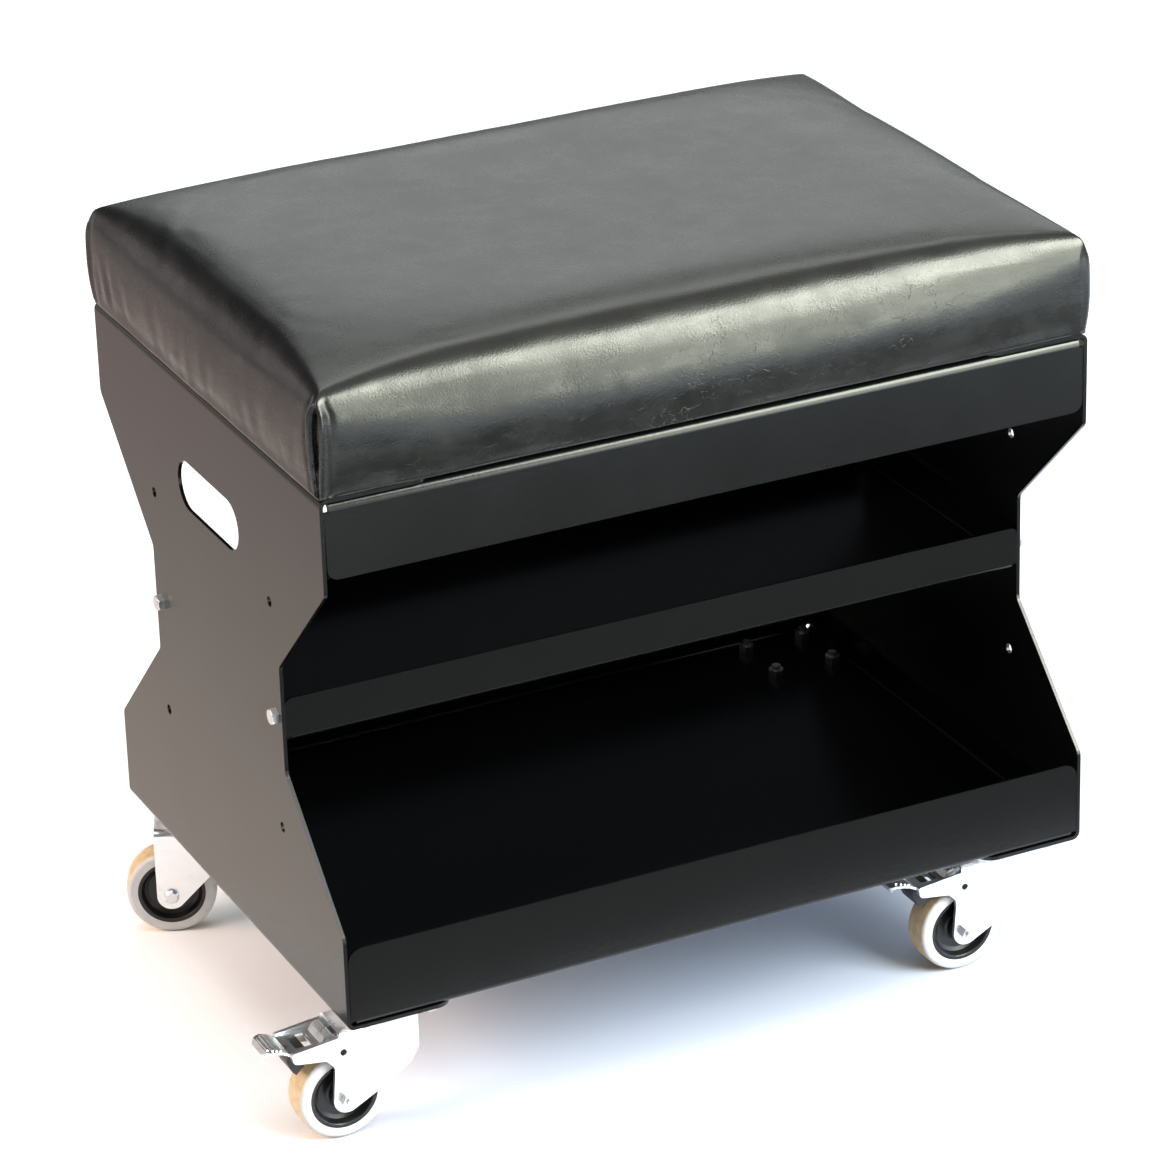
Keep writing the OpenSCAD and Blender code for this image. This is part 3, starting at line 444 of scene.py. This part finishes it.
class Shell:
    """Vertices and faces of the cushion: sides and top, as one grid."""

    def __init__(self, step, fine, zone, rows):
        self.xs = graded(HX, step, fine, zone)
        self.ys = graded(HY, step, fine, zone)
        self.co, self.faces, self.kind = [], [], []
        nx, ny = len(self.xs), len(self.ys)
        per = [(i, 0) for i in range(nx)] + [(nx - 1, j) for j in range(1, ny)] + [(i, ny - 1) for i in range(nx - 2, -1, -1)] + [(0, j) for j in range(ny - 2, 0, -1)]
        self.per = per
        rings = []
        for z in rows:
            ring = []
            corner = 2.5 + (CORNER_TOP - 2.5) * smooth01((z - 8) / 42)
            for i, j in per:
                place = self.place_of(i, j)
                ins = side_inset(z, *place)
                x, y = plan_point(self.xs[i], self.ys[j], ins, corner)
                # above the widest place the heights follow the top, which is lower at the corners
                mid = form(*place)[1]
                h = z if z < mid else mid + (z - mid) * (top_height(x, y) - mid) / (CROWN_EDGE - mid)
                ring.append(self.add(x, y, h, "side"))
            rings.append(ring)
        # top grid: the outermost ring of the grid is the last side ring
        grid = {}
        for k, (i, j) in enumerate(per):
            grid[(i, j)] = rings[-1][k]
        for i in range(1, nx - 1):
            for j in range(1, ny - 1):
                x, y = self.top_xy(i, j, rows[-1])
                grid[(i, j)] = self.add(x, y, self.top_z(x, y, self.xs[i], self.ys[j]), "top")
        for a, b in zip(rings, rings[1:]):
            for k in range(len(per)):
                l = (k + 1) % len(per)
                self.faces.append((a[k], a[l], b[l], b[k]))
        for i in range(nx - 1):
            for j in range(ny - 1):
                self.faces.append((grid[(i, j)], grid[(i + 1, j)], grid[(i + 1, j + 1)], grid[(i, j + 1)]))
        self.first = rings[0]
        self.rings = rings

    def add(self, x, y, z, kind):
        self.co.append((x, y, z))
        self.kind.append(kind)
        return len(self.co) - 1

    def place_of(self, i, j):
        """Which side a rim point of the grid is on, and where along it."""
        if j == 0 or j == len(self.ys) - 1:
            return ("y-" if j == 0 else "y+"), self.xs[i] / HX
        return ("x-" if i == 0 else "x+"), self.ys[j] / HY

    def top_xy(self, i, j, z):
        """Squeezes the flat grid so that its rim meets the last side ring, corners included."""
        x, y = self.xs[i], self.ys[j]
        ix = side_inset(z, "x-" if x < 0 else "x+", y / HY)
        iy = side_inset(z, "y-" if y < 0 else "y+", x / HX)
        hx, hy = HX - ix, HY - iy
        u, v = x / HX * hx, y / HY * hy
        r = CORNER_TOP
        ex, ey = abs(u) - (hx - r), abs(v) - (hy - r)
        if ex > 0 and ey > 0:
            k = max(ex, ey) / math.hypot(ex, ey)
            u = math.copysign(hx - r + ex * k, u)
            v = math.copysign(hy - r + ey * k, v)
        return u, v

    def top_z(self, x, y, gx, gy):
        """Height of the top over a point, from how far it is in from the round-cornered outline."""
        r = CORNER_TOP
        ex, ey = abs(x) - (HX - r), abs(y) - (HY - r)
        dx, dy = HX - abs(x), HY - abs(y)
        fx = form("x-" if x < 0 else "x+", gy / HY)
        fy = form("y-" if y < 0 else "y+", gx / HX)
        if ex > 0 and ey > 0:
            t = math.atan2(ey, ex) / (math.pi / 2)
            inset = r - math.hypot(ex, ey)
            reach, mid, power = (p + (q - p) * smooth01(t) for p, q in zip(fx, fy))
        elif dx < dy:
            inset, (reach, mid, power) = dx, fx
        else:
            inset, (reach, mid, power) = dy, fy
        t = min(1.0, max(0.0, inset / reach))
        s = max(0.0, 1 - (1 - t) ** power) ** (1 / power)
        return mid + (top_height(x, y) - mid) * s


side_rows = [0.0, 0.25, 0.6, 1.2, 2.2, 3.6, 5.2, 7, 9, 11, 13, 15, 17, 19, 21, 23, 25, 27, 29, 31, 33, 35, 37, 39, 41, 43, 45, 46.8, 48.4, 49.8]
shell = Shell(3.0, 0.8, 12, side_rows)


def build_object(name, co, faces, mat, smooth=True):
    me = bpy.data.meshes.new(name)
    me.from_pydata([tuple(c) for c in co], [], faces)
    me.validate()
    me.update()
    if smooth:
        me.polygons.foreach_set("use_smooth", [True] * len(me.polygons))
    o = bpy.data.objects.new(name, me)
    scene.collection.objects.link(o)
    assign(mat, o)
    return o


def normals_of(co, faces):
    n = np.zeros_like(co)
    f = np.array(faces)
    a = co[f[:, 2]] - co[f[:, 0]]
    b = co[f[:, 3]] - co[f[:, 1]]
    fn = np.cross(a, b)
    for k in range(4):
        np.add.at(n, f[:, k], fn)
    return n / np.maximum(np.linalg.norm(n, axis=1), 1e-12)[:, None]


def fbm(p, size, octaves=3):
    return noise.fractal(Vector((p[0] / size, p[1] / size, p[2] / size)), 0.8, 2.0, octaves)


def simulate(co, faces, ring, pressure=3.2, cap=3.0, shrink=0.4, hold_back=0.13):
    """Blows up a voxel remeshed copy of the shell as cloth and gives back the shell's points moved with it, in mm."""
    n = normals_of(co, faces)
    hold = np.array([smooth01((z - 1.0) / 6.0) for z in co[:, 2]])
    free = np.array([1 - near_corner(x, y, 80, 80) for x, y, _ in co])
    start = co - n * (shrink * hold * free)[:, None]
    me = bpy.data.meshes.new("cloth_start")
    me.from_pydata([tuple(c * MM) for c in start], [], list(faces) + [tuple(reversed(ring))])
    o = bpy.data.objects.new("cloth_start", me)
    scene.collection.objects.link(o)
    rm = o.modifiers.new("remesh", "REMESH")
    rm.mode = "VOXEL"
    rm.voxel_size = 0.0055
    bpy.context.view_layer.update()
    plain = bpy.data.meshes.new_from_object(o.evaluated_get(bpy.context.evaluated_depsgraph_get()))
    bpy.data.objects.remove(o)
    o = bpy.data.objects.new("cloth", plain)
    scene.collection.objects.link(o)
    before = np.zeros(len(plain.vertices) * 3)
    plain.vertices.foreach_get("co", before)
    before = before.reshape(-1, 3) / MM
    pins = o.vertex_groups.new(name="pins")
    for i, c in enumerate(before):
        # the turned-in bottom edge is held by its staples, the rest leans on the foam
        pins.add([i], max(hold_back, 1 - smooth01((c[2] - 2.0) / 4.0)), "REPLACE")
    c = o.modifiers.new("cloth", "CLOTH")
    c.settings.quality = 5
    c.settings.mass = 0.3
    c.settings.tension_stiffness = 18
    c.settings.compression_stiffness = 18
    c.settings.shear_stiffness = 6
    c.settings.bending_stiffness = 1.2
    c.settings.use_pressure = True
    c.settings.uniform_pressure_force = pressure
    c.settings.vertex_group_mass = "pins"
    c.settings.effector_weights.gravity = 0
    c.point_cache.frame_start, c.point_cache.frame_end = 1, 20
    for f in range(1, 21):
        scene.frame_set(f)
    blown = o.evaluated_get(bpy.context.evaluated_depsgraph_get()).to_mesh()
    after = np.zeros(len(blown.vertices) * 3)
    blown.vertices.foreach_get("co", after)
    after = after.reshape(-1, 3) / MM
    scene.frame_set(1)
    bpy.data.objects.remove(o)
    move = after - before
    size = np.linalg.norm(move, axis=1)
    move *= np.minimum(1.0, cap / np.maximum(size, 1e-9))[:, None]
    tree = KDTree(len(before))
    for i, c in enumerate(before):
        tree.insert(Vector(c), i)
    tree.balance()
    out = start.copy()
    for i, c in enumerate(start):
        total, w = np.zeros(3), 0.0
        for _, k, d in tree.find_n(Vector(c), 12):
            g = math.exp(-(d / 5.0) ** 2) + 1e-9
            total += move[k] * g
            w += g
        # the corners are sewn and hold their form
        out[i] += total / w * (1 - 0.8 * near_corner(c[0], c[1], 80, 80))
    return out


rng = random.Random(7)
co = np.array(shell.co, float)
co = simulate(co, shell.faces, shell.first)
nrm = normals_of(co, shell.faces)

# puckers run up from the pulled-in bottom edge: (side, place along it, width, depth, height reached, lean)
puckers = []
for side, half, count in (("x-", HY, 12), ("x+", HY, 11), ("y-", HX, 15), ("y+", HX, 16)):
    for k in range(count):
        puckers.append((side, rng.uniform(-half * 0.94, half * 0.94), rng.uniform(4, 11), rng.uniform(0.05, 0.26), rng.uniform(16, 44), rng.uniform(-0.25, 0.25)))
puckers += [("x-", 117, 5, 0.75, 42, 0.24), ("x-", 98, 6, 0.4, 34, 0.2), ("x-", 52, 9, 0.3, 44, 0.1), ("x-", 5, 8, 0.28, 40, 0.0), ("x-", -60, 9, 0.25, 36, 0.0)]

disp = np.zeros(len(co))
for i, (x, y, z) in enumerate(co):
    d = 0.0
    if z < 56:
        for side, place, width, depth, reach, lean in puckers:
            if side[0] == "x":
                if (side[1] == "-") != (x < 0) or abs(x) < HX - 24:
                    continue
                s = y
            else:
                if (side[1] == "-") != (y < 0) or abs(y) < HY - 24:
                    continue
                s = x
            q = (s - place - lean * z) / (width * (0.6 + 0.5 * z / 50))
            if abs(q) < 3:
                up = smooth01(z / 2.5) * (1 - smooth01((z - reach * 0.35) / (reach * 0.65)))
                d -= depth * math.exp(-q * q) * up
                d += depth * 0.45 * (math.exp(-(q - 1.5) ** 2) + math.exp(-(q + 1.5) ** 2)) * up
    d += (0.25 + 0.2 * smooth01((60 - z) / 8)) * fbm((x, y, z), 70, 2) + 0.07 * fbm((x + 300, y, z), 14, 3)
    disp[i] = d
co = co + nrm * disp[:, None]
co[:, 2] = np.maximum(co[:, 2], 0.0)


# ------------------------------------------------ pleats: the leatherette is folded in at each upright corner

def pleat(co, sx, sy, z_lo, z_hi, half_w, depth, turn, lip=1.35):
    """Sinks a slit with two rounded lips into an upright corner. turn moves it off the diagonal, in degrees."""
    out = co.copy()
    r = 12.0
    for i in range(len(co)):
        x, y, z = co[i]
        if z > z_hi + 10 or x * sx < HX - 34 or y * sy < HY - 34:
            continue
        # position round the corner, measured from the corner's own axis
        cx, cy = sx * (HX - r), sy * (HY - r)
        dx, dy = (x - cx) * sx, (y - cy) * sy
        ang = math.atan2(dy, dx) - math.radians(45 + turn)
        rad = math.hypot(dx, dy)
        if rad < 3:
            continue
        s = ang * r
        t = (z - z_lo) / (z_hi - z_lo)
        if t < -0.2 or t > 1.25:
            continue
        # the slit is narrow at the bottom and widest three quarters up, where it ends in a round eye
        w = half_w * (0.42 + 0.58 * smooth01(t / 0.7))
        if t > 0.84:
            w *= math.sqrt(max(0.0, 1 - ((t - 0.84) / 0.16) ** 2))
        open_ = smooth01((z - 0.3) / 1.5) if t < 0.5 else 1.0
        a = abs(s)
        deep = 2.6 + (depth - 2.6) * smooth01((z - 13) / 8)
        if w > 0.05:
            slit = -deep * (1 - smooth01((a - w * 0.55) / (w * 0.55)))
        else:
            slit = 0.0
        ridge = lip * math.exp(-((a - w - 1.5) / 1.25) ** 2)
        valley = -0.7 * math.exp(-((a - w - 5.0) / 1.9) ** 2)
        fade = 1 - smooth01((t - 0.96) / 0.2)
        gather = 0.0
        if t > 0.9:
            gather = -0.6 * math.exp(-(s / 2.4) ** 2) * (1 - smooth01((t - 0.96) / 0.28))
        d = (slit + ridge + valley) * open_ * fade + gather
        n = Vector((math.cos(ang + math.radians(45 + turn)) * sx, math.sin(ang + math.radians(45 + turn)) * sy, 0))
        out[i, 0] += n.x * d
        out[i, 1] += n.y * d
    return out


co = pleat(co, -1, -1, 0.0, 47.0, 2.3, 5.0, -4)
co = pleat(co, 1, -1, 0.0, 46.0, 1.7, 4.4, -22, 0.5)
co = pleat(co, -1, 1, 0.0, 46.0, 1.8, 4.5, 14)
co = pleat(co, 1, 1, 0.0, 47.0, 2.1, 4.8, -8)


def clear_of_board(co, least):
    """Pushes low points out of the board, whose face is 1.5 mm inside the cover's outline."""
    r = 12.0
    hx, hy = HX - 1.5 - r, HY - 1.5 - r
    for i in range(len(co)):
        x, y, z = co[i]
        if z > 15.5 or z < 1.0:
            continue
        qx, qy = abs(x) - hx, abs(y) - hy
        if qx > 0 and qy > 0:
            d = math.hypot(qx, qy)
            gx, gy = qx / d, qy / d
        else:
            d = max(qx, qy)
            gx, gy = (1.0, 0.0) if qx > qy else (0.0, 1.0)
        lack = least * (1 - smooth01((z - 13.0) / 2.5)) - (d - r)
        if 0 < lack < 12:
            co[i, 0] += math.copysign(gx * lack, x)
            co[i, 1] += math.copysign(gy * lack, y)
    return co


co = clear_of_board(co, 0.65)

# under the seat the cover turns in over the board as a hem
faces = list(shell.faces)
n_out = len(co)
nrm = normals_of(co, faces)
ring0 = shell.first
hem_rows = [(0.35, -0.0), (2.0, 0.0), (8.0, 0.0), (16.0, 0.0), (26.6, 0.0), (27.6, 0.12), (28.0, 0.45), (28.0, 0.85), (27.6, 1.1), (26.6, 1.15)]
verts = [tuple(c) for c in co]
prev = ring0
hem_in = []
for ins, z in hem_rows:
    ring = []
    for k in ring0:
        x, y, _ = co[k]
        hx, hy = HX - 1.6 - ins, HY - 1.6 - ins
        # straight inward from the bottom edge, with mitred corners
        nxp = max(-hx, min(hx, x))
        nyp = max(-hy, min(hy, y))
        wave = 0.5 * noise.noise(Vector((x / 9, y / 9, 3.0))) * smooth01((ins - 4) / 20)
        verts.append((nxp + (wave if abs(abs(nxp) - hx) < 1e-6 else 0), nyp + (wave if abs(abs(nyp) - hy) < 1e-6 else 0), z))
        ring.append(len(verts) - 1)
    for k in range(len(ring)):
        l = (k + 1) % len(ring)
        faces.append((ring[k], ring[l], prev[l], prev[k]))
    prev = ring
# inner skin: the outer one moved in by the cover's thickness
T = 1.15
inner = co - normals_of(np.array(shell.co, float), shell.faces) * T
inner[:, 2] = np.maximum(inner[:, 2], 1.2)
inner = clear_of_board(inner, 0.12)
off = len(verts)
verts += [tuple(c) for c in inner]
faces += [tuple(off + v for v in reversed(f)) for f in shell.faces]
inner_ring = [off + k for k in ring0]
for k in range(len(prev)):
    l = (k + 1) % len(prev)
    faces.append((inner_ring[k], inner_ring[l], prev[l], prev[k]))

place = lambda pts: [((x + MID_X / MM) * MM, y * MM, (z + SEAT_Z) * MM) for x, y, z in pts]
cushion = build_object("seat_cushion_cover", place(verts), faces, leather)
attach(cushion, "frame")
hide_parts("seat_cover")

# the foam block inside: the same form, 1.6 mm inside the cover, flat where it lies on the board
core = Shell(9.0, 4.0, 20, [13.6, 14.6, 18, 24, 30, 36, 42, 46])
core_co = np.array(core.co, float)
core_co -= normals_of(core_co, core.faces) * 4.6
core_co[:, 2] = np.maximum(core_co[:, 2], 13.3)
core_co[core.first, 2] = 13.3
foam_block = build_object("seat_foam_block", place(core_co), list(core.faces) + [tuple(reversed(core.first))], foam)
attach(foam_block, "frame")
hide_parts("seat_foam")

# ---------------------------------------------------------------- floor, world, lights

floor = bpy.data.objects.new("studio_floor", bpy.data.meshes.new("studio_floor"))
scene.collection.objects.link(floor)
floor.data.from_pydata([(-30, -30, 0), (30, -30, 0), (30, 30, 0), (-30, 30, 0)], [], [(0, 1, 2, 3)])
fm = Mat("studio_paper", rough=0.7, ior=1.3)
fm.set("color", fm.ramp(fm.noise(400, 2), (0.3, (0.86, 0.86, 0.865)), (0.7, (0.88, 0.88, 0.88))))
assign(fm, floor)



def painted_reflection_sheet(name, corners, glow_at):
    """A glowing sheet lying on the floor, which only mirror-like surfaces show: a painted reflection, no lamp. glow_at
    gives its glow along a direction.
    """
    o = bpy.data.objects.new(name, bpy.data.meshes.new(name))
    scene.collection.objects.link(o)
    o.data.from_pydata([(x, y, 0.003) for x, y in corners], [], [tuple(range(len(corners)))])
    m = bpy.data.materials.new(name)
    m.use_nodes = True
    nt = m.node_tree
    nt.nodes.clear()
    out, em = nt.nodes.new("ShaderNodeOutputMaterial"), nt.nodes.new("ShaderNodeEmission")
    tc, dot = nt.nodes.new("ShaderNodeTexCoord"), nt.nodes.new("ShaderNodeVectorMath")
    pos, ramp = nt.nodes.new("ShaderNodeMapRange"), nt.nodes.new("ShaderNodeValToRGB")
    dot.operation = "DOT_PRODUCT"
    way, start, end, stops = glow_at
    dot.inputs[1].default_value = (*way, 0.0)
    for sock, v in zip(list(pos.inputs)[1:5], (start, end, 0.0, 1.0)):
        sock.default_value = v
    e = ramp.color_ramp.elements
    while len(e) < len(stops):
        e.new(0.5)
    for el, (at, col) in zip(e, stops):
        el.position, el.color = at, (*col, 1)
    nt.links.new(tc.outputs["Object"], dot.inputs[0])
    nt.links.new(dot.outputs["Value"], pos.inputs[0])
    nt.links.new(pos.outputs[0], ramp.inputs[0])
    nt.links.new(ramp.outputs[0], em.inputs[0])
    nt.links.new(em.outputs[0], out.inputs[0])
    o.data.materials.append(m)
    o.visible_camera = o.visible_diffuse = o.visible_shadow = o.visible_transmission = False
    return o


# glowing sheets on the floor that only mirror-like surfaces show, no lamps: painted reflections, grey in front and warm
# at the left, which stand in for the white floor in the black sheet metal's reflections
painted_reflection_sheet("front_painted_reflection", [(-0.80, -0.02), (-0.30, -0.25), (0.0, -0.275), (0.55, -0.275), (1.30, -0.55), (1.10, -1.05), (-0.20, -1.05)],
     ((-0.42, -0.905), 0.2, 1.0, ((0.0, (0.48, 0.49, 0.48)), (0.28, (0.50, 0.51, 0.50)), (0.42, (0.22, 0.23, 0.22)), (0.64, (0.26, 0.27, 0.25)), (1.0, (1.25, 1.27, 1.16)))))
painted_reflection_sheet("left_painted_reflection", [(-0.31, -0.05), (-0.12, 0.45), (0.28, 1.70), (-1.10, 2.20), (-1.30, 0.30), (-0.77, 0.15)],
     ((-0.939, 0.343), 0.28, 0.90, ((0.0, (1.36, 1.17, 1.04)), (0.35, (1.04, 0.90, 0.79)), (0.66, (0.83, 0.69, 0.65)), (1.0, (0.72, 0.58, 0.53)))))

world = bpy.data.worlds.new("studio")
scene.world = world
world.use_nodes = True
wt = world.node_tree
bg = wt.nodes["Background"]
# dim studio with a pale ceiling
wc = wt.nodes.new("ShaderNodeTexCoord")
ws = wt.nodes.new("ShaderNodeSeparateXYZ")
wr = wt.nodes.new("ShaderNodeValToRGB")
wt.links.new(wc.outputs["Generated"], ws.inputs[0])
wt.links.new(ws.outputs[2], wr.inputs[0])
wt.links.new(wr.outputs[0], bg.inputs[0])
e = wr.color_ramp.elements
for _ in range(3):
    e.new(0.5)
for el, (at, col) in zip(e, ((0.0, (0.16, 0.17, 0.19)), (0.2, (0.16, 0.17, 0.19)), (0.45, (0.03, 0.035, 0.04)), (0.70, (0.03, 0.035, 0.04)), (0.88, (0.80, 0.80, 0.78)))):
    el.position, el.color = at, (*col, 1)
bg.inputs[1].default_value = 1.0


def panel_light(name, place, aim, w, h, radiance, color=(1, 1, 1), spread=180):
    """An area light that the camera doesn't see. radiance is what a mirror facing it would show."""
    light = bpy.data.lights.new(name, "AREA")
    light.shape = "RECTANGLE"
    light.size, light.size_y = w, h
    light.energy = radiance * math.pi * w * h
    light.color = color
    light.spread = math.radians(spread)
    o = bpy.data.objects.new(name, light)
    scene.collection.objects.link(o)
    o.location = place
    o.rotation_mode = "QUATERNION"
    o.rotation_quaternion = (Vector(aim) - Vector(place)).to_track_quat("-Z", "Y")
    o.visible_camera = False
    return o


def link_to(light, state, *objects):
    """Keeps a light off some objects (EXCLUDE), or on them only (INCLUDE)."""
    group = bpy.data.collections.new(light.name + "_link")
    for o in objects:
        group.objects.link(o)
    light.light_linking.receiver_collection = group
    for item in group.collection_objects:
        item.light_linking.link_state = state


# a softbox front right with a lower strip under it, panels behind that the seat's top mirrors, warm boxes at the left,
# daylight low at the right and an overhead box for the floor
front = panel_light("front_softbox", (1.40, -1.58, 1.74), (0.05, 0.0, 0.38), 1.25, 1.15, 26.0, (0.95, 1.0, 0.86))
strip = panel_light("front_strip", (1.16, -1.98, 0.62), (0.05, 0.0, 0.38), 1.05, 1.10, 9.4, (0.95, 1.0, 0.86))
front_floor = panel_light("front_floor_light", (1.05, -1.75, 1.50), (0.05, 0.0, 0.35), 1.3, 1.2, 12.0, (0.84, 1.0, 1.22))
back = panel_light("back_panel", (1.26, 1.80, 1.30), (0.05, 0.0, 0.43), 2.0, 1.0, 1.45, (0.95, 1.0, 0.97))
high = panel_light("high_back", (0.6, 1.4, 2.6), (0.0, 0.0, 0.3), 2.4, 1.2, 2.6, (0.97, 1.0, 0.97))
left_back = panel_light("left_back_panel", (-1.05, 2.3, 0.62), (-0.2, 0.0, 0.42), 1.3, 0.55, 0.8, (1.0, 0.86, 0.80))
left_box = panel_light("left_box", (-1.9, 0.5, 1.5), (-0.35, 0.25, 0.0), 1.4, 1.0, 5.6, (1.0, 0.82, 0.73))
left_low = panel_light("left_low_box", (-1.25, 0.12, 0.62), (-0.40, 0.08, 0.0), 0.9, 0.45, 11.5, (1.0, 0.82, 0.71))
daylight = panel_light("right_daylight", (1.70, -0.65, 0.35), (0.05, -0.05, 0.0), 1.6, 0.5, 9.0, (0.62, 0.80, 1.15))
overhead = panel_light("overhead_box", (0.3, -1.2, 3.2), (0.1, -0.1, 0.0), 3.0, 2.4, 3.8, (0.98, 1.0, 1.0))
# what lies under the seat is shaded from the panels, and the floor in front has its own, bluer light
shaded = [nodes[n] for n in ("middle_shelf", "bottom_tray", "castor_plate_nuts", "castor_plate_bolts")]
for light in (back, high, left_back, left_box):
    link_to(light, "EXCLUDE", *shaded)
for light in (daylight, overhead, left_low):
    link_to(light, "EXCLUDE", cushion, *shaded)
link_to(front, "EXCLUDE", floor, *shaded)
link_to(strip, "EXCLUDE", floor, *shaded)
castors = [nodes[part + c] for part in ("castor_plate_", "fork_", "axle_bolt_", "axle_nut_", "tyre_") for c in ("fl", "fr", "rl", "rr")]
castors += [nodes["brake_pedal_fl"], nodes["brake_pedal_fr"]]
link_to(front_floor, "INCLUDE", floor, *castors)
